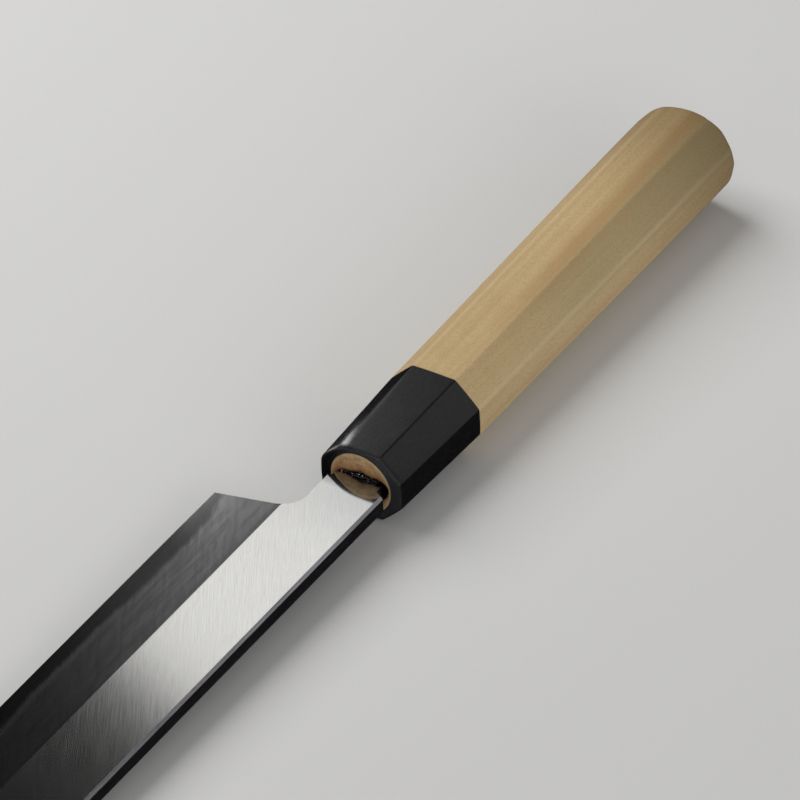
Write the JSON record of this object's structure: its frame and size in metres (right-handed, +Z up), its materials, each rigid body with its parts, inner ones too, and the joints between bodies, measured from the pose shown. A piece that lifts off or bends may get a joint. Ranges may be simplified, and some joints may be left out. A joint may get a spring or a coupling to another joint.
{
  "type": "sashimi knife",
  "caption": "Long single-bevel slicing knife for raw fish: laminated steel blade with a narrow neck, black horn ferrule and octagonal pale wooden handle.",
  "frame": {"origin": "under the middle of the knife's box, at the height of its lowest point, the handle's lower face at the butt", "axes": "+X along the handle towards the blade's tip, +Y towards the spine, +Z up, out of the bevelled side of the blade"},
  "size_m": [0.415, 0.0392, 0.0218],
  "materials": {
    "blade_body": "bright satin flat brushed in fine slanting lines, hazy grey bevel, bright narrow chamfer along the spine",
    "edge_steel": "smooth darker steel band along the edge, with a soft wavy border to the iron",
    "ferrule": "black buffalo horn, polished, with faint fibres",
    "handle": "pale magnolia wood, sanded and unvarnished, with fine straight grain",
    "tang_resin": "black charred resin, lumpy and shiny"
  },
  "bodies": {
    "root": {"blade_body": "blade_body", "edge_steel": "edge_steel", "ferrule": "ferrule", "handle": "handle", "tang_resin": "tang_resin"}
  },
  "joints": []
}
